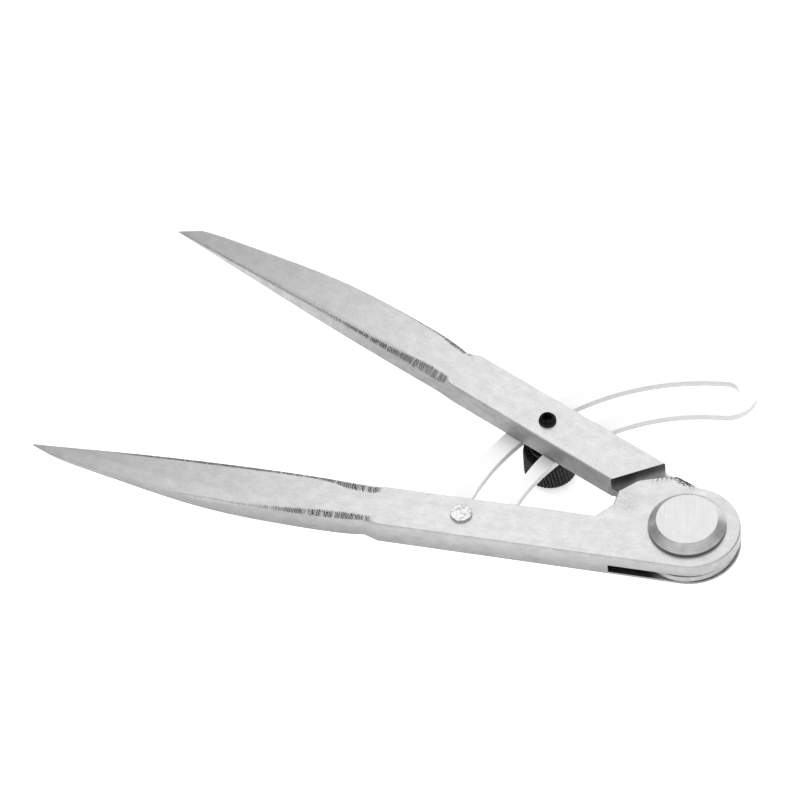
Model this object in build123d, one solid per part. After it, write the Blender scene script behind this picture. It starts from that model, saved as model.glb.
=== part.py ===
from build123d import *
import os
from math import cos, radians, sin

# Divider caliper: two pointed steel legs on one rivet joint, held open by a slotted quadrant wing
# and a knurled lock screw. Millimetres. Z is the pivot axis, and z = 0 is the back face of the
# pivot. The legs point along -X and open evenly to both sides of the XZ plane.
#
# Each leg is drawn in its own leg frame: +X runs from the pivot to the point, and "outward" is the
# side away from the other leg (+1 is +Y for the fork leg, -1 is -Y for the tongue leg).

# Driving dimensions of the legs
pivot_to_point = 186.0
leg_thickness = 7.7
leg_outer_edge = 14.0  # also the radius of the round head
head_overhang = 0.6  # the fork leg's head is struck a little beyond the pivot
bar_inner_edge = 0.55
bar_length = 84.0
shoulder_end = 88.0
blade_inner_edge = 0.15
edge_break = 0.3
opening_angle = 26.78
fork_side = 1
tongue_side = -1

# Pivot joint: the tongue of one leg turns in the slot of the other
upper_ear = 3.9
slot_height = 2.8
tongue_thickness = 2.6
step_angle = 32.2  # the step's normal, turned outward from the leg
step_distance = 23.05
slot_distance = 23.8
# The ear's corners in the fork leg's frame. Those beside the step stay within step_distance of
# the pivot, so that the ear passes the step at every angle.
ear_corners = [
    (5.8, -16.8),
    (8.8, -16.4),
    (16.3, -13.6),
    (20.9, -9.1),
    (21.3, -4.2),
    (25.3, bar_inner_edge),
]
wing_gap = 0.1  # tongue leg to wing
pivot_shank_d = 8.0
running_gap = 0.05
disc_d = 21.2
disc_flat_d = 16.8
disc_height = 3.3
disc_bevel_height = 2.2
peen_depth = 0.8

# Quadrant wing, drawn in the fork leg's frame. Its arc is struck from a centre a little behind
# the pivot, and angles on it run from the fork leg towards the tongue leg.
wing_thickness = 2.1
wing_centre = (-4.7, 9.0)
wing_radius = 64.4
wing_half_width = 8.8
wing_slot_half_width = 3.5
wing_end_angle = 86.1
slot_start_angle = 9.4
tail_angle = 7.6  # where the wing goes under the fork leg
tail_boss_r = 5.2
relief_play = 0.3  # the slot is widened along the screw's own path, so that the legs close
relief_start_angle = 6.2
relief_end_angle = 40.0
wing_rivet_place = (61.6, 6.6)
wing_rivet_d = 4.0
wing_rivet_head_d = 6.3
wing_rivet_head_height = 0.9
wing_rivet_foot_d = 6.6
wing_rivet_foot_height = 1.0

# Lock screw
stud_radius_from_pivot = 54.3
stud_angle = 6.78  # outward of the tongue leg
stud_d = 4.9
stud_proud = 1.6
hex_across_flats = 2.5
hex_depth = 2.2
washer_d = 11.0
washer_thickness = 1.0
contact_gap = 0.05
knob_d = 15.0
knob_collar_d = 10.0
knob_collar_height = 0.8
knob_length = 9.5
knob_bevel = 0.6
knob_recess_d = 7.0
knob_recess_depth = 0.6
stud_in_knob = 7.6

# Heights of the stack
underside_z = disc_height
top_z = underside_z + leg_thickness
slot_top_z = top_z - upper_ear
slot_bottom_z = slot_top_z - slot_height
tongue_top_z = slot_top_z - (slot_height - tongue_thickness) / 2
wing_bottom_z = underside_z - wing_thickness
washer_top_z = wing_bottom_z - contact_gap
washer_bottom_z = washer_top_z - washer_thickness
knob_top_z = washer_bottom_z - knob_collar_height
knob_bottom_z = knob_top_z - knob_length

# Leg directions about Z
fork_heading = 180 + opening_angle / 2
tongue_heading = 180 - opening_angle / 2
far = 200.0  # longer than anything that it cuts

# Blade sections: distance from the pivot, outer edge, thickness as a share of the leg's,
# and the widths of the inner and outer bevels. The legs are ground alike, not mirrored, so the
# wide bevel is on the outside of the fork leg and on the inside of the tongue leg.
fork_blade = [
    (shoulder_end, 12.8, 1.0, 1.9, 1.2),
    (104.0, 13.6, 1.0, 0.9, 1.6),
    (120.0, 13.4, 0.96, 0.5, 2.4),
    (136.0, 12.3, 0.86, 0.4, 3.3),
    (150.0, 10.0, 0.72, 0.4, 3.5),
    (165.0, 6.8, 0.49, 0.4, 2.4),
    (180.5, 3.0, 0.16, 0.2, 0.9),
]
tongue_blade = [
    (shoulder_end, 12.7, 1.0, 2.2, 1.5),
    (104.0, 13.5, 1.0, 2.0, 0.7),
    (120.0, 13.1, 0.94, 1.7, 0.4),
    (136.0, 12.0, 0.80, 1.4, 0.4),
    (150.0, 10.1, 0.62, 1.2, 0.4),
    (165.0, 7.7, 0.38, 0.8, 0.4),
    (180.5, 4.5, 0.16, 0.4, 0.2),
]
point_section = (pivot_to_point, 0.55, 0.06, 0.08, 0.08)
inner_bevel_slope = 0.7
outer_bevel_slope = 0.5


def bar_at(start, end, inner, outer, outward):
    """A flat bar's outline between two distances from the pivot, counterclockwise on either side."""
    corners = [(start, inner), (end, inner), (end, outer), (start, outer)]
    return Polygon(*[(x, y * outward) for x, y in corners][::outward], align=None)


def blade_section(section, thickness, centre_z, outward):
    """One eight-sided section across the blade."""
    distance, outer, share, inner_bevel, outer_bevel = section
    half = thickness * share / 2
    inner_wall = half - inner_bevel * inner_bevel_slope
    outer_wall = half - outer_bevel * outer_bevel_slope
    upper = [
        (blade_inner_edge, inner_wall),
        (blade_inner_edge + inner_bevel, half),
        (outer - outer_bevel, half),
        (outer, outer_wall),
    ]
    lower = [(y, -z) for y, z in reversed(upper)]
    points = [(y * outward, centre_z + z) for y, z in upper + lower]
    return Plane.YZ.offset(distance) * Polygon(*points, align=None)


def shoulder_section(thickness, centre_z, outward):
    """The bar's own section, where the blade starts."""
    half = thickness / 2
    wall = half - edge_break
    inner = bar_inner_edge
    outer = leg_outer_edge
    upper = [(inner, wall), (inner + edge_break, half), (outer - edge_break, half), (outer, wall)]
    lower = [(y, -z) for y, z in reversed(upper)]
    points = [(y * outward, centre_z + z) for y, z in upper + lower]
    return Plane.YZ.offset(bar_length) * Polygon(*points, align=None)


def blade(shape, thickness, centre_z, outward):
    """Shoulder ramp, bevelled blade and ground point."""
    sections = [blade_section(s, thickness, centre_z, outward) for s in shape]
    point = blade_section(point_section, thickness, centre_z, outward)
    start = shoulder_section(thickness, centre_z, outward)
    shoulder = loft([start, sections[0]], ruled=True)
    middle = loft(sections)
    tip = loft([sections[-1], point], ruled=True)
    return shoulder + middle + tip


def plate(outline, thickness, bottom_z):
    """A flat plate with its outline's edges broken, except across its blade end."""
    solid = extrude(Pos(0, 0, bottom_z) * outline, amount=thickness, dir=(0, 0, 1))
    faces = solid.faces().filter_by(Axis.Z)
    edges = [e for e in faces.edges() if e.center().X < bar_length - edge_break]
    return chamfer(edges, edge_break)


def beyond_step(distance, outward, low_z, high_z):
    """The space on the pivot's side of the slanted step, between two heights."""
    box = Box(far, far, high_z - low_z, align=(Align.MAX, Align.CENTER, Align.MIN))
    return Rot(0, 0, step_angle * outward) * Pos(distance, 0, low_z) * box


def drill(diameter, x=0.0, y=0.0):
    """A hole right through."""
    return Pos(x, y, 0) * Cylinder(diameter / 2, far)


def on_wing(radius, angle):
    """A point of the wing's own polar frame."""
    x, y = wing_centre
    return (x + radius * cos(radians(angle)), y - radius * sin(radians(angle)))


def fork_leg():
    """Leg with two ears, the hole of the pivot and the hole of the wing's rivet."""
    ear = [(-head_overhang, -leg_outer_edge), *ear_corners, (-head_overhang, bar_inner_edge)]
    outline = bar_at(-head_overhang, bar_length, bar_inner_edge, leg_outer_edge, fork_side)
    outline += Pos(-head_overhang, 0) * Circle(leg_outer_edge)
    outline += Polygon(*ear, align=None)
    leg = plate(outline, leg_thickness, underside_z)
    leg += blade(fork_blade, leg_thickness, underside_z + leg_thickness / 2, fork_side)
    leg -= beyond_step(slot_distance, fork_side, slot_bottom_z, slot_top_z)
    leg -= drill(pivot_shank_d + 2 * running_gap)
    leg -= drill(wing_rivet_d, *wing_rivet_place)
    return Rot(0, 0, fork_heading) * leg


def tongue_leg():
    """Leg with the tongue, the hole of the pivot and the hole of the lock screw."""
    thickness = leg_thickness - wing_gap
    bottom_z = underside_z + wing_gap
    outline = bar_at(0, bar_length, bar_inner_edge, leg_outer_edge, tongue_side)
    outline += Circle(leg_outer_edge)
    leg = plate(outline, thickness, bottom_z)
    leg += blade(tongue_blade, thickness, bottom_z + thickness / 2, tongue_side)
    leg -= beyond_step(step_distance, tongue_side, tongue_top_z, far)
    leg -= beyond_step(step_distance, tongue_side, -far, tongue_top_z - tongue_thickness)
    leg -= drill(pivot_shank_d + 2 * running_gap)
    leg -= drill(stud_d + 2 * running_gap, *stud_place())
    return Rot(0, 0, tongue_heading) * leg


def stud_place():
    """The lock screw's axis in the tongue leg's frame."""
    angle = radians(stud_angle)
    return (stud_radius_from_pivot * cos(angle), stud_radius_from_pivot * sin(angle) * tongue_side)


def arc_strip(centre, radius, half_width, start, end):
    """A strip along an arc whose angles run towards the tongue leg."""
    ring = Circle(radius + half_width) - Circle(radius - half_width)
    angles = (start, (start + end) / 2, end)
    rim = [(far * cos(radians(a)), -far * sin(radians(a))) for a in angles]
    return Pos(*centre) * (ring & Polygon((0, 0), *rim, align=None))


def wing_outline():
    """Arc with a round far end, and a tail that narrows to a boss under the fork leg."""
    outline = arc_strip(wing_centre, wing_radius, wing_half_width, tail_angle, wing_end_angle)
    outline += Pos(*on_wing(wing_radius, wing_end_angle)) * Circle(wing_half_width)
    inner = on_wing(wing_radius - wing_half_width, tail_angle)
    outer = on_wing(wing_radius + wing_half_width, tail_angle)
    boss = Pos(*wing_rivet_place) * Circle(tail_boss_r)
    return outline + make_hull(boss.edges() + [Line(inner, outer).edge()])


def wing_slot():
    """Slot for the lock screw, widened along the screw's own path about the pivot."""
    start, end = slot_start_angle, wing_end_angle
    slot = arc_strip(wing_centre, wing_radius, wing_slot_half_width, start, end)
    for angle in (start, end):
        slot += Pos(*on_wing(wing_radius, angle)) * Circle(wing_slot_half_width)
    path_r = stud_radius_from_pivot
    play = stud_d / 2 + relief_play
    slot += arc_strip((0, 0), path_r, play, relief_start_angle, relief_end_angle)
    turn = radians(relief_start_angle)
    return slot + Pos(path_r * cos(turn), -path_r * sin(turn)) * Circle(play)


def quadrant_wing():
    """Slotted plate that is riveted under the fork leg and passes under the tongue leg."""
    flat = wing_outline() - wing_slot()
    solid = extrude(Pos(0, 0, wing_bottom_z) * flat, amount=wing_thickness, dir=(0, 0, 1))
    solid -= drill(wing_rivet_d, *wing_rivet_place)
    return Rot(0, 0, fork_heading) * solid


def turned(profile):
    """A solid turned about Z from (radius, height) points."""
    return revolve(Plane.XZ * Polygon(*profile, align=None), Axis.Z)


def wing_rivet():
    """Flat-headed rivet through the fork leg and the wing's tail."""
    shank = wing_rivet_d / 2
    head = wing_rivet_head_d / 2
    foot = wing_rivet_foot_d / 2
    bevel = 0.25
    head_z = top_z + wing_rivet_head_height
    foot_z = wing_bottom_z - wing_rivet_foot_height
    solid = turned([
        (0, foot_z),
        (foot - 2 * bevel, foot_z),
        (foot, foot_z + 2 * bevel),
        (foot, wing_bottom_z),
        (shank, wing_bottom_z),
        (shank, top_z),
        (head, top_z),
        (head, head_z - bevel),
        (head - bevel, head_z),
        (0, head_z),
    ])
    return Rot(0, 0, fork_heading) * Pos(*wing_rivet_place, 0) * solid


def pivot_rivet():
    """Bevelled disc head with a shank whose end is peened into the back disc."""
    shank = pivot_shank_d / 2
    head_z = top_z + disc_height
    return turned([
        (0, 0),
        (shank + peen_depth, 0),
        (shank, peen_depth),
        (shank, top_z),
        (disc_d / 2, top_z),
        (disc_d / 2, head_z - disc_bevel_height),
        (disc_flat_d / 2, head_z),
        (0, head_z),
    ])


def pivot_back_disc():
    """The same disc on the back, with a countersunk bore."""
    bore = pivot_shank_d / 2
    return turned([
        (bore + peen_depth, 0),
        (disc_flat_d / 2, 0),
        (disc_d / 2, disc_bevel_height),
        (disc_d / 2, disc_height),
        (bore, disc_height),
        (bore, peen_depth),
    ])


def at_stud(solid):
    """Moves a piece from the Z axis to the lock screw's axis."""
    return Rot(0, 0, tongue_heading) * Pos(*stud_place(), 0) * solid


def lock_washer():
    """Plain washer between the wing and the knob."""
    inner = stud_d / 2 + running_gap
    outer = washer_d / 2
    bevel = 0.15
    return at_stud(turned([
        (inner, washer_bottom_z),
        (outer - bevel, washer_bottom_z),
        (outer, washer_bottom_z + bevel),
        (outer, washer_top_z),
        (inner, washer_top_z),
    ]))


def lock_knob():
    """Knob with a collar above, a bevel at each rim and a blind hole for the stud."""
    radius = knob_d / 2
    stud = stud_d / 2
    recess = knob_recess_d / 2
    hole_z = knob_top_z - stud_in_knob
    return at_stud(turned([
        (0, knob_bottom_z + knob_recess_depth),
        (recess, knob_bottom_z + knob_recess_depth),
        (recess + knob_recess_depth, knob_bottom_z),
        (radius - knob_bevel, knob_bottom_z),
        (radius, knob_bottom_z + knob_bevel),
        (radius, knob_top_z - knob_bevel),
        (radius - knob_bevel, knob_top_z),
        (knob_collar_d / 2, knob_top_z),
        (knob_collar_d / 2, washer_bottom_z),
        (stud, washer_bottom_z),
        (stud, hole_z),
        (0, hole_z),
    ]))


def lock_stud():
    """Headless screw fixed in the knob, with a hexagon socket in its free end."""
    radius = stud_d / 2
    bevel = 0.5
    end_z = top_z + stud_proud
    solid = turned([
        (0, knob_top_z - stud_in_knob),
        (radius, knob_top_z - stud_in_knob),
        (radius, end_z - bevel),
        (radius - bevel, end_z),
        (0, end_z),
    ])
    socket = RegularPolygon(hex_across_flats / 2, 6, major_radius=False)
    solid -= extrude(Pos(0, 0, end_z - hex_depth) * socket, amount=far, dir=(0, 0, 1))
    return at_stud(solid)


nodes = {
    "leg_fork": fork_leg(),
    "leg_tongue": tongue_leg(),
    "quadrant_wing": quadrant_wing(),
    "wing_rivet": wing_rivet(),
    "pivot_rivet": pivot_rivet(),
    "pivot_back_disc": pivot_back_disc(),
    "lock_washer": lock_washer(),
    "lock_knob": lock_knob(),
    "lock_stud": lock_stud(),
}

os.makedirs("parts", exist_ok=True)
for name, solid in nodes.items():
    solid.label = name
    export_step(solid, os.path.join("parts", name + ".step"))
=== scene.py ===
import math
import random

import bpy
from mathutils import Matrix, Vector, noise


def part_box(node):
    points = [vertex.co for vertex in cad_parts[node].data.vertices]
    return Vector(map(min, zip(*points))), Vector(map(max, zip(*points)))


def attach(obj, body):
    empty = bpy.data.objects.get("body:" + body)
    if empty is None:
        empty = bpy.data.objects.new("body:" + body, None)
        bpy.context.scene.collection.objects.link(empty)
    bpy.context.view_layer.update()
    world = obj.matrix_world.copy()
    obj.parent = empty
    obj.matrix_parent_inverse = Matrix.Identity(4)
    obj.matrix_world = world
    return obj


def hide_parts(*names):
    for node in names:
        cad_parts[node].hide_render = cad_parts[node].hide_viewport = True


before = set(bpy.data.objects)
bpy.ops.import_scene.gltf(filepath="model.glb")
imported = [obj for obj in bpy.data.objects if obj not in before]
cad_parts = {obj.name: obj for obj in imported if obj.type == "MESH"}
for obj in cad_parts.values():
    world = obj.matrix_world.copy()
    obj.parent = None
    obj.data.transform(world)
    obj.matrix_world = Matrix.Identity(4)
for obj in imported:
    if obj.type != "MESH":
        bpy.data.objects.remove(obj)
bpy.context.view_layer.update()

# Divider caliper in ground steel, with a polished quadrant wing and a black lock screw. Lengths in
# this script are millimetres until mesh_object turns them into metres. Only the light and the
# camera are placed in metres.

MM = 0.001

# Driving dimensions, as in the CAD part
half_opening = 26.78 / 2
fork_heading = 180 + half_opening
tongue_heading = 180 - half_opening
leg_length = 186.0
leg_top = 11.0
leg_bottom = 3.3
leg_outer_edge = 14.0
disc_r = 10.6
disc_bevel_height = 2.2
slot_low, slot_high = 4.3, 7.1
slot_distance = 23.8
step_angle = 32.2
step_distance = 23.05
thread_pitch = 0.8  # of an M5 thread, which the CAD part leaves plain

# Chatter bands: (distance along the leg, value). The middle's place is a share of the leg's
# width, the half width is in units of 2 mm, and the strength is from 0 to 1.
band_unit = 2.0
fork_outer_band = (
    [(0, 0.93), (84, 0.915), (96, 0.915), (105, 0.925), (120, 0.92), (132, 0.86), (186, 0.5)],
    [(0, 0.1), (84, 0.30), (88, 0.62), (96, 0.58), (104, 0.40), (114, 0.24), (130, 0.12),
     (186, 0.1)],
    [(0, 0), (84.6, 0), (86.4, 0.9), (104, 1.0), (112, 0.75), (124, 0.45), (140, 0.3), (150, 0),
     (186, 0)],
)
fork_inner_band = (
    [(0, 0.15), (86, 0.15), (94, 0.14), (102, 0.06), (130, 0.045), (186, 0.04)],
    [(0, 0.1), (85, 0.4), (88, 0.70), (94, 0.62), (101, 0.36), (130, 0.30), (186, 0.15)],
    [(0, 0), (84.6, 0), (86.4, 1), (95, 1), (105, 1), (150, 0.9), (172, 0), (186, 0)],
)
tongue_inner_band = (
    [(0, 0.1), (86, 0.09), (94, 0.09), (105, 0.062), (120, 0.05), (140, 0.04), (186, 0.03)],
    [(0, 0.1), (86, 0.55), (92, 0.64), (99, 0.46), (106, 0.34), (118, 0.22), (128, 0.15),
     (150, 0.12), (186, 0.1)],
    [(0, 0), (85.6, 0), (86.8, 0.9), (95, 0.9), (110, 1), (122, 0.8), (132, 0.5), (172, 0.35),
     (186, 0)],
)
tongue_outer_band = (
    [(0, 0.9), (86, 0.885), (92, 0.895), (100, 0.955), (112, 0.96), (130, 0.925), (186, 0.9)],
    [(0, 0.1), (85, 0.25), (90, 0.36), (96, 0.28), (104, 0.2), (130, 0.16), (186, 0.1)],
    [(0, 0), (84.6, 0), (86.6, 0.85), (95, 0.9), (104, 0.8), (128, 0.6), (142, 0), (186, 0)],
)

# Tones along a leg: of its top face, which fades towards the point as painted shade, and of the
# side faces of each leg, which are painted darker than the top as shade
top_tones_with_painted_shade = [(0, 0.80), (80, 0.80), (105, 0.72), (135, 0.60), (165, 0.50), (186, 0.44)]
fork_sides_with_painted_shade = [(0, 0.41), (80, 0.40), (95, 0.37), (115, 0.36), (140, 0.34), (186, 0.36)]
tongue_sides_with_painted_shade = [(0, 0.40), (20, 0.40), (27, 0.22), (50, 0.23), (62, 0.29), (110, 0.30),
                (132, 0.38), (186, 0.42)]

# The outer edge of the fork leg's blade, as a share of the leg's width
fork_rim = [(0, 1), (88, 0.914), (104, 0.971), (120, 0.957), (136, 0.879), (150, 0.714),
            (165, 0.486), (180.5, 0.214), (186, 0.04)]


def box_mm(node):
    """A CAD node's lowest and highest corner in millimetres."""
    low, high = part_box(node)
    return low / MM, high / MM


def centre_mm(node):
    """The middle of a CAD node's box in millimetres."""
    low, high = box_mm(node)
    return (low + high) / 2


# ---------------------------------------------------------------- node graphs


class Graph:
    """One material's nodes, with short calls for what the materials share."""

    def __init__(self, name, metallic, roughness):
        self.material = bpy.data.materials.new(name)
        self.material.use_nodes = True
        self.tree = self.material.node_tree
        self.tree.nodes.clear()
        self.shader = self.tree.nodes.new("ShaderNodeBsdfPrincipled")
        output = self.tree.nodes.new("ShaderNodeOutputMaterial")
        self.tree.links.new(self.shader.outputs[0], output.inputs[0])
        self.shader.inputs["Metallic"].default_value = metallic
        self.shader.inputs["Roughness"].default_value = roughness

    def put(self, value, socket):
        """Links an output to a socket, or sets the socket to a number."""
        if isinstance(value, bpy.types.NodeSocket):
            self.tree.links.new(value, socket)
        else:
            socket.default_value = value

    def math(self, operation, *values, clamp=False):
        """One math node's result."""
        node = self.tree.nodes.new("ShaderNodeMath")
        node.operation = operation
        node.use_clamp = clamp
        for value, socket in zip(values, node.inputs):
            self.put(value, socket)
        return node.outputs[0]

    def product(self, first, *others):
        """All the values multiplied."""
        for other in others:
            first = self.math("MULTIPLY", first, other)
        return first

    def total(self, first, *others):
        """All the values added up."""
        for other in others:
            first = self.math("ADD", first, other)
        return first

    def minus(self, first, *others):
        """The first value less all the others."""
        for other in others:
            first = self.math("SUBTRACT", first, other)
        return first

    def swing(self, noise_value, amount):
        """A noise of 0 to 1 as a swing about zero, times an amount."""
        return self.product(self.minus(noise_value, 0.5), amount)

    def between(self, low, high, factor):
        """low where the factor is 0, and high where it is 1."""
        return self.math("MULTIPLY_ADD", factor, self.minus(high, low), low)

    def shade(self, tone, change, where):
        """The tone as it is where `where` is 0, and times the change where it is 1."""
        return self.product(tone, self.between(1.0, change, where))

    def ramp(self, value, start, end, low=0.0, high=1.0):
        """Smooth step of a value from start to end, onto low to high."""
        node = self.tree.nodes.new("ShaderNodeMapRange")
        node.interpolation_type = "SMOOTHSTEP"
        for number, socket in zip((value, start, end, low, high), node.inputs):
            self.put(number, socket)
        return node.outputs[0]

    def curve(self, value, points, highest):
        """A curve through (x, y) points, with x up to highest and y up to 1."""
        node = self.tree.nodes.new("ShaderNodeFloatCurve")
        line = node.mapping.curves[0]
        places = [(x / highest, y) for x, y in points]
        line.points[0].location = places[0]
        line.points[1].location = places[-1]
        for place in places[1:-1]:
            line.points.new(*place)
        node.mapping.update()
        self.put(self.math("DIVIDE", value, highest), node.inputs["Value"])
        return node.outputs[0]

    def point(self, heading=0.0, centre=(0.0, 0.0, 0.0)):
        """The surface point in millimetres, in a frame turned about Z and moved to a centre."""
        coordinates = self.tree.nodes.new("ShaderNodeTexCoord")
        mapping = self.tree.nodes.new("ShaderNodeMapping")
        turn = math.radians(-heading)
        moved = Matrix.Rotation(turn, 3, "Z") @ Vector(centre)
        mapping.inputs["Scale"].default_value = (1 / MM, 1 / MM, 1 / MM)
        mapping.inputs["Rotation"].default_value = (0, 0, turn)
        mapping.inputs["Location"].default_value = -moved
        self.tree.links.new(coordinates.outputs["Object"], mapping.inputs["Vector"])
        return mapping.outputs[0]

    def split(self, vector):
        """A vector's three parts."""
        node = self.tree.nodes.new("ShaderNodeSeparateXYZ")
        self.put(vector, node.inputs[0])
        return node.outputs

    def vector(self, *parts):
        """A vector from its three parts."""
        node = self.tree.nodes.new("ShaderNodeCombineXYZ")
        for part, socket in zip(parts, node.inputs):
            self.put(part, socket)
        return node.outputs[0]

    def stretched(self, parts, scales):
        """The parts of a point, each times its own scale, as a vector."""
        return self.vector(*[self.product(part, scale) for part, scale in zip(parts, scales)])

    def length(self, x, y):
        """The length of a flat vector."""
        return self.math("SQRT", self.total(self.product(x, x), self.product(y, y)))

    def up(self):
        """How far the surface faces up or down, from 0 to 1."""
        geometry = self.tree.nodes.new("ShaderNodeNewGeometry")
        return self.math("ABSOLUTE", self.split(geometry.outputs["Normal"])[2])

    def noise(self, vector, scale=1.0, detail=3.0, roughness=0.55):
        """Noise from 0 to 1."""
        node = self.tree.nodes.new("ShaderNodeTexNoise")
        self.put(vector, node.inputs["Vector"])
        node.inputs["Scale"].default_value = scale
        node.inputs["Detail"].default_value = detail
        node.inputs["Roughness"].default_value = roughness
        return node.outputs[0]

    def pits(self, vector, scale, size):
        """1 in rare small spots, 0 elsewhere."""
        node = self.tree.nodes.new("ShaderNodeTexVoronoi")
        self.put(vector, node.inputs["Vector"])
        node.inputs["Scale"].default_value = scale
        chosen = self.math("GREATER_THAN", self.split(node.outputs["Color"])[0], 0.8)
        return self.product(chosen, self.ramp(node.outputs["Distance"], size, size * 0.4))

    def grey(self, value):
        """Uses a grey level as the base colour."""
        self.put(self.vector(value, value, value), self.shader.inputs["Base Color"])

    def rough(self, value):
        """Uses a value as the roughness."""
        self.put(value, self.shader.inputs["Roughness"])

    def bump(self, height, distance):
        """Bump from a height of 0 to 1, with its full height in millimetres."""
        node = self.tree.nodes.new("ShaderNodeBump")
        node.inputs["Distance"].default_value = distance * MM
        node.inputs["Strength"].default_value = 1.0
        self.put(height, node.inputs["Height"])
        self.tree.links.new(node.outputs[0], self.shader.inputs["Normal"])


# ---------------------------------------------------------------- the legs' ground steel


class LegGraph(Graph):
    """Satin steel brushed along a leg, with the place on the leg and the noises worked out.

    along runs from the pivot to the point, across runs outward from the closed tool's middle, and
    height is above the frame's origin.
    """

    def __init__(self, name, heading, outward):
        super().__init__(name, 1.0, 0.4)
        self.shader.inputs["Anisotropic"].default_value = 0.35
        self.outward = outward
        self.along, sideways, self.height = self.split(self.point(heading))
        self.across = self.product(sideways, outward)
        self.radial = self.length(self.along, self.across)
        self.facing_up = self.up()
        self.coarse = self.streaks((0.12, 0.8, 0.8), 4.0)
        self.fine = self.streaks((0.5, 4.0, 4.0), 3.0)
        self.clouds = self.streaks((0.26, 0.34, 0.34), 5.0, 0.65)
        self.grain = self.streaks((1.6, 2.6, 2.6), 4.0, 0.7)
        place = (self.along, self.across, self.height)
        self.spots = self.pits(self.stretched(place, (0.8, 1.0, 1.0)), 0.36, 0.09)

    def streaks(self, scales, detail, roughness=0.55):
        """Noise with its own scale along, across and up the leg."""
        place = (self.along, self.across, self.height)
        return self.noise(self.stretched(place, scales), detail=detail, roughness=roughness)

    def run(self, points):
        """A curve along the leg, through (distance, value) points."""
        return self.curve(self.along, points, leg_length)

    def behind_step(self):
        """Distance from the pivot, square to the slanted step."""
        turn = math.radians(step_angle)
        return self.total(self.product(self.along, math.cos(turn)),
                          self.product(self.across, math.sin(turn)))

    def tone(self, side_tones_with_painted_shade, side_mottling):
        """Brushing, clouds, grain and rare pits on the top face and on duller side faces, which
        are also painted darker as shade.

        The lowest part of a side face is painted darker still, as shade.
        """
        flat = self.ramp(self.facing_up, 0.45, 0.97)
        # Painted shade: the top face fades along the leg, and the sides are darker than the top
        tone = self.between(self.run(side_tones_with_painted_shade), self.run(top_tones_with_painted_shade), flat)
        mottling = self.between(side_mottling, 0.40, flat)
        texture = self.total(self.swing(self.coarse, 0.18), self.swing(self.fine, 0.32),
                             self.swing(self.clouds, mottling), self.swing(self.grain, mottling))
        tone = self.product(tone, self.total(texture, 1.0))
        tone = self.shade(tone, 0.72, self.spots)
        # Painted shade along the bottom of each side face
        return self.product(tone, self.ramp(self.height, leg_bottom + 0.1, leg_bottom + 0.7,
                                            0.6, 1.0))

    def chatter_marks(self, bands):
        """Dark cross-wise ticks in two bands along the edges of the blade, from 0 to 1."""
        tick_pitch = 0.62
        tick_slant = 0.35 * self.outward
        tick_bend = 3.5
        phase = self.math("MULTIPLY_ADD", self.across, tick_slant, self.along)
        phase = self.math("MULTIPLY_ADD", self.clouds, tick_bend, phase)
        ticks = self.math("SINE", self.product(phase, 2 * math.pi / tick_pitch))
        ticks = self.ramp(self.total(self.swing(self.grain, 3.4), ticks), -0.9, 0.9, 0.5, 1.0)
        gaps = self.ramp(self.streaks((0.9, 0.1, 0.1), 2.0), 0.32, 0.5, 0.35, 1.0)
        on_top = self.ramp(self.facing_up, 0.35, 0.6)
        wandering = self.total(self.across, self.swing(self.grain, 0.9))
        reach = self.math("MULTIPLY_ADD", ticks, -0.9, 1.75)

        marks = []
        for middle, width, strength in bands:
            place = self.product(self.run(middle), leg_outer_edge)
            half = self.product(self.run(width), band_unit)
            offset = self.math("ABSOLUTE", self.minus(wandering, place))
            share = self.math("DIVIDE", self.product(offset, reach), half)
            inside = self.minus(1.0, self.ramp(share, 0.7, 1.15))
            marks.append(self.product(inside, ticks, gaps, self.run(strength), on_top))
        return self.math("MAXIMUM", *marks)

    def painted_shadow_at_disc(self, tone):
        """A painted shadow line on the top face, beside the disc of the pivot."""
        ring = self.product(self.ramp(self.radial, disc_r + 0.3, disc_r),
                            self.ramp(self.height, leg_top - 0.3, leg_top - 0.1))
        return self.shade(tone, 0.5, ring)

    def painted_shade_in_joint(self, tone, where, inner_tone, outer_tone):
        """Painted shade between the ears, with its tones at the leg's inner and outer edge."""
        within = self.product(
            self.ramp(self.behind_step(), slot_distance + 0.3, slot_distance - 0.1),
            self.ramp(self.height, slot_low - 0.1, slot_low - 0.02),
            self.ramp(self.height, slot_high + 0.1, slot_high + 0.02))
        joint_shade = self.between(inner_tone, outer_tone, self.ramp(self.across, 3.0, 9.0))
        return self.shade(tone, joint_shade, self.product(within, where))

    def finish(self, tone, marks):
        """Sets colour, roughness and bump, and returns the material."""
        self.grey(tone)
        satin = self.between(0.46, 0.36, self.ramp(self.facing_up, 0.5, 0.97))
        satin = self.total(satin, self.swing(self.fine, 0.25))
        self.rough(self.math("MAXIMUM", satin, self.product(marks, 0.7)))
        relief = self.total(self.product(self.fine, 0.35), self.product(self.coarse, 0.3),
                            self.product(self.grain, 0.35))
        relief = self.minus(relief, self.product(self.spots, 1.2), self.product(marks, 3.0))
        self.bump(relief, 0.02)
        return self.material


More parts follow.
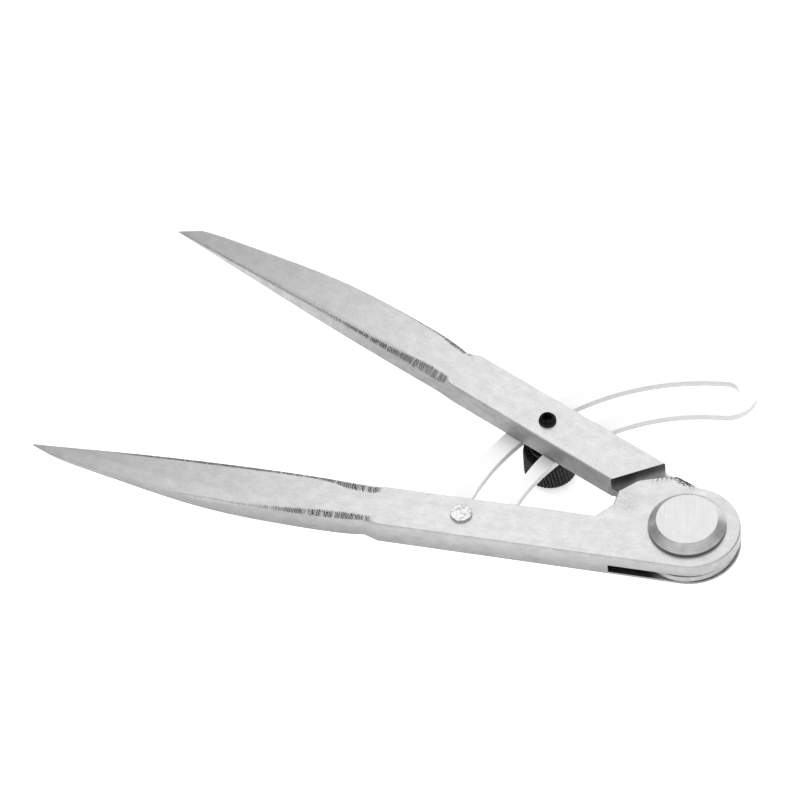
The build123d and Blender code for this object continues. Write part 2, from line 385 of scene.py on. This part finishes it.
def fork_steel():
    """The fork leg: a painted highlight on the blade's wide bevel, painted shade in the slot and a
    torn ear.
    """
    g = LegGraph("fork_steel", fork_heading, 1)
    tone = g.tone(fork_sides_with_painted_shade, 0.5)
    # Painted shade: this leg's sides get darker all the way down
    tone = g.product(tone, g.ramp(g.height, leg_bottom, leg_top - 1.0, 0.72, 1.0))
    # Painted highlight on the blade's wide bevel
    tone = painted_bevel_highlight(g, tone)
    marks = g.chatter_marks([fork_outer_band, fork_inner_band])
    tone = g.shade(tone, 0.12, marks)
    # Painted shadow beside the pivot's disc
    tone = g.painted_shadow_at_disc(tone)
    # The slot gets painted shade, but the round rim of the head doesn't
    deep = g.math("ADD", g.ramp(g.along, 4.0, 8.0),
                  g.ramp(g.radial, leg_outer_edge + 0.2, leg_outer_edge - 0.3), clamp=True)
    tone = g.painted_shade_in_joint(tone, deep, 0.10, 0.40)
    tone = grey_specks_on_ear(g, tone)
    tone = torn_ear(g, tone)
    return g.finish(tone, marks)


def painted_bevel_highlight(g, tone):
    """The blade's wide bevel gets a painted highlight near its outer edge."""
    inward = g.minus(g.product(g.run(fork_rim), leg_outer_edge), g.across)
    strip = g.product(g.ramp(inward, 4.2, 2.6), g.ramp(inward, -0.2, 1.2),
                      g.ramp(g.along, 108.0, 134.0))
    return g.shade(tone, 1.10, strip)


def grey_specks_on_ear(g, tone):
    """Grey specks on the ear's top face, near the step's inner end."""
    from_middle = g.length(g.minus(g.along, 18.5), g.total(g.across, 6.0))
    speck_mask = g.product(g.ramp(from_middle, 6.5, 2.0), g.ramp(g.grain, 0.42, 0.62),
                       g.ramp(g.facing_up, 0.9, 0.99))
    return g.shade(tone, 0.74, speck_mask)


def torn_ear(g, tone):
    """The ear's edge is torn and dark near the head, and combed at its corner."""
    near_top = g.ramp(g.height, 8.8, 9.4)
    edge = g.total(g.product(g.along, -0.41), g.product(g.across, -0.91))
    edge = g.total(g.swing(g.grain, 7.0), edge)
    torn = g.product(g.ramp(edge, 11.2, 12.2), g.ramp(g.along, 0.2, 1.8),
                     g.ramp(g.along, 13.0, 11.0), near_top)
    tone = g.shade(tone, 0.10, torn)
    corner = g.total(g.product(g.along, 0.35), g.product(g.across, -0.937))
    comb = g.math("SINE", g.product(g.math("MULTIPLY_ADD", g.grain, 2.5, g.along), 5.2))
    comb = g.product(g.ramp(comb, 0.1, 0.9), g.ramp(corner, 16.2, 18.2),
                     g.ramp(g.along, 5.0, 7.0), g.ramp(g.along, 13.5, 11.0), near_top)
    return g.shade(tone, 0.15, comb)


def tongue_steel():
    """The tongue leg: speckled sides, painted shade on the step and in the joint, and dark lines
    beside the ears.
    """
    g = LegGraph("tongue_steel", tongue_heading, -1)
    tone = g.tone(tongue_sides_with_painted_shade, 0.85)
    marks = g.chatter_marks([tongue_inner_band, tongue_outer_band])
    tone = g.shade(tone, 0.12, marks)
    # Painted shadow beside the pivot's disc
    tone = g.painted_shadow_at_disc(tone)
    tone = lines_at_ears(g, tone)
    # Painted shade in the joint beside the ears
    tone = g.painted_shade_in_joint(tone, g.ramp(g.radial, 14.6, 16.0), 0.75, 1.0)
    # Painted shade on the step's face
    tone = painted_shade_on_step(g, tone)
    return g.finish(tone, marks)


def lines_at_ears(g, tone):
    """Broken dark lines where the tongue's round rim meets the ears."""
    lines = g.math("MAXIMUM", g.ramp(g.height, slot_high - 0.95, slot_high - 0.5),
                   g.ramp(g.height, slot_low + 0.5, slot_low + 0.2))
    lines = g.product(lines, g.ramp(g.radial, 15.5, 14.6), g.ramp(g.clouds, 0.38, 0.50))
    return g.shade(tone, 0.22, lines)


def painted_shade_on_step(g, tone):
    """The step's own face and the strip of the tongue at its foot get painted shade."""
    distance = g.behind_step()
    face = g.product(g.ramp(distance, step_distance + 0.05, step_distance - 0.02),
                     g.ramp(distance, step_distance - 0.6, step_distance - 0.1),
                     g.ramp(g.height, slot_high - 0.2, slot_high + 0.6))
    streak = g.streaks((0.3, 0.3, 2.6), 2.0)
    foot = g.product(g.ramp(g.height, 9.4, slot_high), g.ramp(g.across, 0.0, 9.0, 0.45, 0.6))
    return g.shade(tone, g.total(g.between(0.11, 0.26, streak), foot), face)


# ---------------------------------------------------------------- the other materials


def wing_steel():
    """Bright polished sheet with fine turned marks, and filed edges whose faces are painted darker
    than the top, as shade.
    """
    g = Graph("polished_sheet", 0.3, 0.5)
    x, y, z = g.split(g.point())
    up = g.up()
    flat = g.ramp(up, 0.4, 0.95)
    radial = g.length(x, y)
    turned = g.noise(g.stretched((radial, x, y), (2.6, 0.05, 0.05)))
    clouds = g.noise(g.vector(x, y, z), scale=0.12, detail=4.0)
    scratches = g.noise(g.stretched((x, y, z), (0.4, 5.0, 1.0)), detail=2.0)
    filed = g.noise(g.stretched((x, y, z), (0.5, 0.5, 5.0)))
    worn = g.product(g.minus(1.0, up), g.swing(filed, 0.5))
    texture = g.total(g.swing(turned, 0.05), g.swing(clouds, 0.05), worn, 1.0)
    # Painted shade: faces that don't face up are darker than the top
    g.grey(g.product(g.between(0.62, 0.88, flat), texture))
    g.rough(g.total(g.swing(clouds, 0.2), g.between(0.5, 0.46, flat)))
    g.bump(g.total(g.product(turned, 0.5), g.product(scratches, 0.5)), 0.004)
    return g.material


def disc_steel(name, wall_top, fade):
    """A disc whose flat is brushed one way, with a turned bevel painted darker than the flat, and
    a wall that fades into painted shade.
    """
    g = Graph(name, 1.0, 0.35)
    point = g.split(g.point(heading=-66.0))
    x, y, z = point
    radial = g.length(x, y)
    flat = g.ramp(g.up(), 0.93, 0.99)
    streaks = g.noise(g.stretched(point, (0.12, 3.2, 1.0)), detail=4.0, roughness=0.65)
    clouds = g.noise(g.stretched(point, (0.4, 0.4, 0.4)), detail=3.0)
    turned = g.noise(g.stretched((radial, x, y), (3.0, 0.08, 0.08)), detail=3.0)
    grain = g.between(turned, streaks, flat)
    texture = g.total(g.swing(grain, g.between(0.6, 0.34, flat)),
                      g.swing(clouds, g.between(0.6, 0.18, flat)), 1.0)
    # Painted shade: the turned bevel is darker than the flat
    tone = g.product(g.between(0.56, 0.84, flat), texture)
    # Painted shade on the wall below the bevel
    wall = g.ramp(z, wall_top, wall_top - fade)
    outside = g.ramp(radial, disc_r - 0.3, disc_r - 0.05)
    g.grey(g.shade(tone, 0.25, g.product(wall, outside)))
    g.rough(g.total(g.swing(grain, 0.2), 0.34))
    g.bump(grain, 0.012)
    return g.material


def hammered_steel(centre):
    """Bright steel that was hammered over, with small grey dents, and sides painted darker than
    the top, as shade.
    """
    g = Graph("hammered_steel", 1.0, 0.3)
    point = g.point(centre=centre)
    dents = g.noise(point, scale=1.3, detail=3.0, roughness=0.6)
    fine = g.noise(point, scale=4.0, detail=2.0)
    # Painted shade: the sides are darker than the top
    tone = g.between(0.42, 0.98, g.ramp(g.up(), 0.35, 0.85))
    tone = g.product(tone, g.ramp(dents, 0.36, 0.5, 0.55, 1.0))
    g.grey(g.product(tone, g.total(g.swing(fine, 0.2), 1.0)))
    g.rough(g.between(0.45, 0.24, dents))
    g.bump(g.total(dents, g.product(fine, 0.3)), 0.05)
    return g.material


def black_oxide(name, centre, bright_edge_radius, bright_edge_strength):
    """Black oxide, satin, with faint specks, and brighter at its outer edges: partly rubbed off by
    use, partly a painted highlight.
    """
    g = Graph(name, 0.15, 0.4)
    point = g.point(centre=centre)
    x, y, _ = g.split(point)
    clouds = g.noise(point, scale=0.5, detail=4.0, roughness=0.6)
    grain = g.noise(point, scale=3.5, detail=3.0, roughness=0.7)
    # Brighter outer edges: partly rubbed-off oxide, partly a painted highlight
    rubbed_and_highlight = g.product(g.ramp(g.length(x, y), bright_edge_radius - 0.3, bright_edge_radius),
                       g.ramp(grain, 0.4, 0.65), bright_edge_strength)
    tone = g.math("MULTIPLY_ADD", clouds, 0.007, 0.002)
    tone = g.total(tone, g.product(g.ramp(grain, 0.52, 0.70), 0.05), g.product(rubbed_and_highlight, 0.16))
    g.grey(tone)
    g.rough(g.total(g.swing(grain, 0.3), 0.42))
    g.bump(grain, 0.02)
    g.shader.inputs["Specular IOR Level"].default_value = 0.05
    return g.material


def burr_steel():
    """Torn dark edges of steel."""
    g = Graph("torn_steel", 1.0, 0.5)
    grain = g.noise(g.point(), scale=1.6, detail=3.0)
    g.grey(g.ramp(grain, 0.35, 0.65, 0.03, 0.25))
    g.bump(grain, 0.05)
    return g.material


# ---------------------------------------------------------------- pieces


def mesh_object(name, points, faces, material, centre=(0, 0, 0), smooth_angle=35.0):
    """An object in the row frame from points in millimetres about a centre."""
    mesh = bpy.data.meshes.new(name)
    origin = Vector(centre)
    mesh.from_pydata([(Vector(p) + origin) * MM for p in points], [], faces)
    mesh.validate()
    mesh.update()
    piece = bpy.data.objects.new(name, mesh)
    bpy.context.scene.collection.objects.link(piece)
    mesh.materials.append(material)
    mesh.shade_smooth()
    mesh.set_sharp_from_angle(angle=math.radians(smooth_angle))
    return piece


def lathe(rings):
    """Points and faces of stacked rings of equal length, closed at both ends with fans."""
    count = len(rings[0])
    points = [p for ring in rings for p in ring]
    faces = []
    for row in range(len(rings) - 1):
        start = row * count
        for i in range(count):
            j = (i + 1) % count
            faces.append((start + i, start + j, start + count + j, start + count + i))
    for row, turn in ((0, -1), (len(rings) - 1, 1)):
        middle = [sum(p[k] for p in rings[row]) / count for k in range(3)]
        points.append(middle)
        tip = len(points) - 1
        start = row * count
        for i in range(count):
            j = (i + 1) % count
            pair = (start + i, start + j) if turn > 0 else (start + j, start + i)
            faces.append((*pair, tip))
    return points, faces


def circle(radius, z, count, wobble=None):
    """A ring of points. wobble(angle) is added to the radius."""
    ring = []
    for i in range(count):
        angle = 2 * math.pi * i / count
        r = radius + (wobble(angle) if wobble else 0)
        ring.append((r * math.cos(angle), r * math.sin(angle), z))
    return ring


def hexagon(flats, z, count):
    """A ring of points on a hexagon, with flats as the distance from its middle to a side."""
    side = math.pi / 3
    ring = []
    for i in range(count):
        angle = 2 * math.pi * i / count
        sector = (angle + side / 2) % side - side / 2
        r = flats / math.cos(sector)
        ring.append((r * math.cos(angle), r * math.sin(angle), z))
    return ring


def knob_profile(radius, bottom, top):
    """The knob's (radius, z, share of the knurl's depth), from its recess to its bore."""
    collar_r, collar_height = 5.0, 0.78
    recess_depth = 0.6
    bore_r = 2.6
    shoulder = top - collar_height
    knurl_start, knurl_end = bottom + 0.7, shoulder - 1.5
    steps = 14
    profile = [(3.1, bottom + recess_depth, 0), (3.5, bottom + recess_depth, 0), (4.1, bottom, 0)]
    profile += [(radius - 0.75, bottom, 0), (radius - 0.55, bottom + 0.05, 0)]
    profile += [(radius - 0.25, bottom + 0.25, 0.5), (radius, knurl_start, 1)]
    for i in range(1, steps + 1):
        profile.append((radius, knurl_start + (knurl_end - knurl_start) * i / steps, 1))
    profile += [(radius - 0.06, shoulder - 1.0, 0.8), (radius - 0.2, shoulder - 0.5, 0.3)]
    profile += [(radius - 0.36, shoulder - 0.2, 0), (radius - 0.6, shoulder - 0.04, 0)]
    profile += [(radius - 0.85, shoulder, 0), (collar_r + 0.15, shoulder, 0)]
    profile += [(collar_r, shoulder + 0.12, 0), (collar_r, top - 0.12, 0)]
    profile += [(collar_r - 0.12, top, 0), (bore_r, top, 0)]
    return profile


def knurled_knob(material):
    """The knob: a collar, a rounded top rim, slightly slanted knurling and a recessed bottom."""
    low, high = box_mm("lock_knob")
    centre = centre_mm("lock_knob")
    radius = (high.x - low.x) / 2
    washer_play = 0.02  # keeps the collar's face off the washer's
    teeth, points_per_tooth = 46, 6
    depth = 0.38
    slant = 0.16  # teeth that the knurl leans by, for each millimetre of height

    def knurl(z, share):
        def radial(angle):
            phase = (angle * teeth / (2 * math.pi) + slant * z) % 1.0
            ridge = 1 - abs(2 * phase - 1)
            return -depth * share * (1 - min(1.0, ridge * 1.35))
        return radial

    count = teeth * points_per_tooth
    rings = []
    for r, z, share in knob_profile(radius, low.z, high.z - washer_play):
        rings.append(circle(r, z, count, knurl(z, share) if share else None))
    points, faces = lathe(rings)
    return mesh_object("knurled_knob", points, faces, material, (centre.x, centre.y, 0), 28.0)


def threaded_stud(material):
    """The lock screw's stud: a real thread, a bevelled end and a hexagon socket."""
    low, high = box_mm("lock_stud")
    centre = centre_mm("lock_stud")
    major = (high.x - low.x) / 2
    minor = major - 0.42
    count = 72
    end = high.z
    thread_end = end - 0.5
    rows_per_turn = 10
    rows = int((thread_end - low.z) / (thread_pitch / rows_per_turn))
    rings = []
    for row in range(rows + 1):
        z = low.z + (thread_end - low.z) * row / rows
        taper = min(1.0, (end - 0.35 - z) / 0.5)

        def thread(angle, z=z, taper=taper):
            phase = (z / thread_pitch - angle / (2 * math.pi)) % 1.0
            ridge = min(1.0, 1.25 * (1 - abs(2 * phase - 1)))
            return (major - minor) * (ridge * taper - (1 - taper) * 0.2)

        rings.append(circle(minor, z, count, thread))
    rings.append(circle(major - 0.5, end - 0.12, count))
    rings.append(circle(major - 0.65, end, count))

    socket_flats = 2.5 / 2
    socket_depth = 1.9
    rings.append(hexagon(socket_flats * 1.06, end, count))
    rings.append(hexagon(socket_flats, end - 0.12, count))
    rings.append(hexagon(socket_flats - 0.02, end - socket_depth, count))
    rings.append(circle(0.5, end - socket_depth - 0.25, count))
    points, faces = lathe(rings)
    return mesh_object("threaded_stud", points, faces, material, (centre.x, centre.y, 0), 32.0)


def ragged(amount, seed):
    """A wobble for a rough rim."""
    def radial(angle):
        place = Vector((math.cos(angle) * 1.6, math.sin(angle) * 1.6, seed))
        return amount * (noise.noise(place) - 0.5)
    return radial


def hammer_dent(x, y):
    """Depth of the hammer marks at a place on the rivet's head."""
    large = noise.noise(Vector((x * 1.5, y * 1.5, 9.0)))
    small = noise.noise(Vector((x * 3.4, y * 3.4, 4.0)))
    return 0.11 * max(0.0, large + 0.5 * small)


def hammered_rivet(material):
    """The wing's rivet, with a hammered head, a rough rim and a spread foot."""
    low, high = box_mm("wing_rivet")
    centre = centre_mm("wing_rivet")
    foot_r = (high.x - low.x) / 2
    foot_height = 1.0
    head_r = 3.15
    shank_r = 1.99
    count = 96
    under_wing = low.z + foot_height

    rings = []
    bottom = [(0.4, 0.05), (1.2, 0.04), (2.0, 0.02), (foot_r - 0.75, 0.0), (foot_r - 0.3, 0.18)]
    for r, rise in bottom:
        rings.append(circle(r, low.z + rise, count, ragged(0.08, 2.0)))
    rings.append(circle(foot_r - 0.04, low.z + 0.55, count, ragged(0.06, 3.0)))
    rings.append(circle(foot_r - 0.04, under_wing, count, ragged(0.06, 3.5)))
    rings.append(circle(shank_r, under_wing, count))
    rings.append(circle(shank_r, leg_top, count))
    rim = ragged(0.16, 5.0)
    rings.append(circle(head_r - 0.06, leg_top, count, rim))
    rings.append(circle(head_r - 0.02, high.z - 0.38, count, rim))
    rings.append(circle(head_r - 0.10, high.z - 0.2, count, rim))
    outermost = 2.9
    for r in (outermost, 2.65, 2.3, 1.95, 1.6, 1.25, 0.9, 0.6, 0.3):
        droop = 0.05 if r == outermost else 0.0
        ring = circle(r, high.z - 0.02 - droop, count, ragged(0.05, 6.0))
        rings.append([(x, y, z - hammer_dent(x, y)) for x, y, z in ring])
    points, faces = lathe(rings)
    return mesh_object("hammered_rivet", points, faces, material, (centre.x, centre.y, 0), 40.0)


def leg_point(heading, outward, along, across, z):
    """A point given in a leg's own frame, in the row frame."""
    turn = math.radians(heading)
    y = across * outward
    return Vector((along * math.cos(turn) - y * math.sin(turn),
                   along * math.sin(turn) + y * math.cos(turn), z))


def burrs(name, heading, outward, runs, material, seed):
    """Small torn flakes along straight edges of a leg: (start, end, low z, high z, count)."""
    chance = random.Random(seed)
    bite = 0.15  # how deep a flake's foot sits in the leg
    sides = ((0, 1, 4), (1, 2, 4), (2, 3, 4), (3, 0, 4), (0, 3, 2), (0, 2, 1))
    points, faces = [], []
    for start, end, low, high, count in runs:
        run = Vector(end) - Vector(start)
        forward = run.normalized()
        normal = Vector((-run.y, run.x)).normalized()
        if normal.dot(Vector(start)) < 0:
            normal = -normal
        for i in range(count):
            share = (i + chance.uniform(0.1, 0.9)) / count
            foot = Vector(start) + run * share
            wide = chance.uniform(0.25, 0.6)
            proud = chance.uniform(0.12, 0.55)
            tall = chance.uniform(0.35, 1.0) * (high - low)
            base = low + chance.uniform(0, 1) * (high - low - tall)
            lean = chance.uniform(-0.5, 0.5)
            along = forward * wide / 2
            inner = foot - normal * bite
            outer = foot + normal * proud + forward * lean * wide
            corners = [
                (inner - along, base),
                (inner + along, base + 0.1 * tall),
                (inner + along * 0.7, base + tall),
                (inner - along * 0.8, base + 0.9 * tall),
                (outer, base + tall * chance.uniform(0.3, 0.8)),
            ]
            first = len(points)
            for place, z in corners:
                points.append(leg_point(heading, outward, place.x, place.y, z))
            for a, b, c in sides:
                faces.append((first + a, first + b, first + c))
    return mesh_object(name, points, faces, material, smooth_angle=10.0)


# ---------------------------------------------------------------- the object

rivet_centre = centre_mm("wing_rivet")
knob_centre = centre_mm("lock_knob")
disc_wall_top = box_mm("pivot_rivet")[1].z - disc_bevel_height
disc_wall_fade = (disc_wall_top - leg_top) * 0.25
# The back disc's whole rim gets the wall's painted shade
above_back_disc = box_mm("pivot_back_disc")[1].z + 1.0  # so that all of its rim counts as wall

node_materials = {
    "leg_fork": fork_steel(),
    "leg_tongue": tongue_steel(),
    "quadrant_wing": wing_steel(),
    "pivot_rivet": disc_steel("disc_front", disc_wall_top, disc_wall_fade),
    "pivot_back_disc": disc_steel("disc_back", above_back_disc, 0.125),
    "lock_washer": black_oxide("oxide_washer", knob_centre, 5.5, 0.5),
}
for node, material in node_materials.items():
    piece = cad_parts[node]
    piece.data.materials.clear()
    piece.data.materials.append(material)

knob = knurled_knob(black_oxide("oxide_knob", knob_centre, 7.5, 0.55))
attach(knob, "lock_screw")
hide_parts("lock_knob")

stud = threaded_stud(black_oxide("oxide_stud", knob_centre, 2.45, 0.35))
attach(stud, "lock_screw")
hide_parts("lock_stud")

rivet = hammered_rivet(hammered_steel(rivet_centre))
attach(rivet, "fork_side")
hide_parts("wing_rivet")

torn_steel = burr_steel()
tongue_runs = [
    ((14.2, 13.9), (18.6, 13.95), slot_low + 0.3, slot_high - 0.04, 20),
    ((19.0, 13.95), (20.6, 13.95), slot_high + 0.1, leg_top - 0.3, 9),
]
tongue_burrs = burrs("tongue_burrs", tongue_heading, -1, tongue_runs, torn_steel, 7)
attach(tongue_burrs, "tongue_side")
ear_runs = [
    ((12.5, -14.9), (8.8, -16.3), 9.6, leg_top + 0.1, 7),
    ((8.8, -16.3), (5.8, -16.7), 9.2, leg_top + 0.15, 9),
    ((5.8, -16.7), (0.4, -14.2), 9.2, leg_top + 0.05, 18),
]
ear_burrs = burrs("ear_burrs", fork_heading, 1, ear_runs, torn_steel, 11)
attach(ear_burrs, "fork_side")

# ---------------------------------------------------------------- stage, light and camera


def floor():
    """A plain white table, which glows a little so that it stays white beside the object.

    It lies below the lowest place that the knob reaches when the lock screw is turned out.
    """
    low, _ = box_mm("lock_knob")
    knob_travel = 1.8
    reach = 3000.0
    corners = [(-reach, -reach, 0), (reach, -reach, 0), (reach, reach, 0), (-reach, reach, 0)]
    material = bpy.data.materials.new("white_table")
    material.use_nodes = True
    shader = material.node_tree.nodes["Principled BSDF"]
    shader.inputs["Base Color"].default_value = (0.86, 0.86, 0.86, 1)
    shader.inputs["Roughness"].default_value = 0.9
    shader.inputs["Specular IOR Level"].default_value = 0.1
    shader.inputs["Emission Color"].default_value = (1, 1, 1, 1)
    shader.inputs["Emission Strength"].default_value = 0.6
    table = mesh_object("white_table", corners, [(0, 1, 2, 3)], material,
                        (0, 0, low.z - knob_travel))


def sky():
    """Even light from above that falls off towards the horizon."""
    dim_below, full_above = 0.10, 0.62
    dimmest, fullest = 0.14, 1.0
    world = bpy.data.worlds.new("studio")
    bpy.context.scene.world = world
    world.use_nodes = True
    tree = world.node_tree
    coordinates = tree.nodes.new("ShaderNodeTexCoord")
    parts = tree.nodes.new("ShaderNodeSeparateXYZ")
    tree.links.new(coordinates.outputs["Generated"], parts.inputs[0])
    rise = tree.nodes.new("ShaderNodeMapRange")
    rise.interpolation_type = "SMOOTHSTEP"
    for value, socket in zip((dim_below, full_above, dimmest, fullest), list(rise.inputs)[1:5]):
        socket.default_value = value
    tree.links.new(parts.outputs[2], rise.inputs[0])
    background = tree.nodes["Background"]
    background.inputs["Color"].default_value = (1, 1, 1, 1)
    tree.links.new(rise.outputs[0], background.inputs["Strength"])


def soft_light(name, place, size, power):
    """A square soft light that looks at the object. Its place and size are in metres."""
    data = bpy.data.lights.new(name, "AREA")
    data.shape = "SQUARE"
    data.size = size
    data.energy = power
    light = bpy.data.objects.new(name, data)
    bpy.context.scene.collection.objects.link(light)
    target = Vector((-0.09, 0.0, 0.0))
    light.location = place
    light.rotation_euler = (target - Vector(place)).to_track_quat("-Z", "Y").to_euler()
    light.visible_glossy = False


def camera(place, right, up, lens):
    """A camera from its place in metres and the directions to its right and above it."""
    data = bpy.data.cameras.new("camera")
    data.sensor_width = 36.0
    data.lens = lens
    data.clip_start = 0.05
    data.clip_end = 20.0
    shot = bpy.data.objects.new("camera", data)
    bpy.context.scene.collection.objects.link(shot)
    back = right.cross(up)
    turn = Matrix((right, up, back)).transposed().to_4x4()
    shot.matrix_world = Matrix.Translation(place) @ turn
    bpy.context.scene.camera = shot


floor()
sky()
soft_light("key", (-0.5, 0.5, 1.6), size=1.6, power=14.0)
camera(place=Vector((0.37494, -0.76909, 1.08275)),
       right=Vector((0.892984, 0.445264, -0.065722)),
       up=Vector((-0.303369, 0.703306, 0.642906)),
       lens=226.54)
bpy.context.scene.view_settings.view_transform = "Standard"
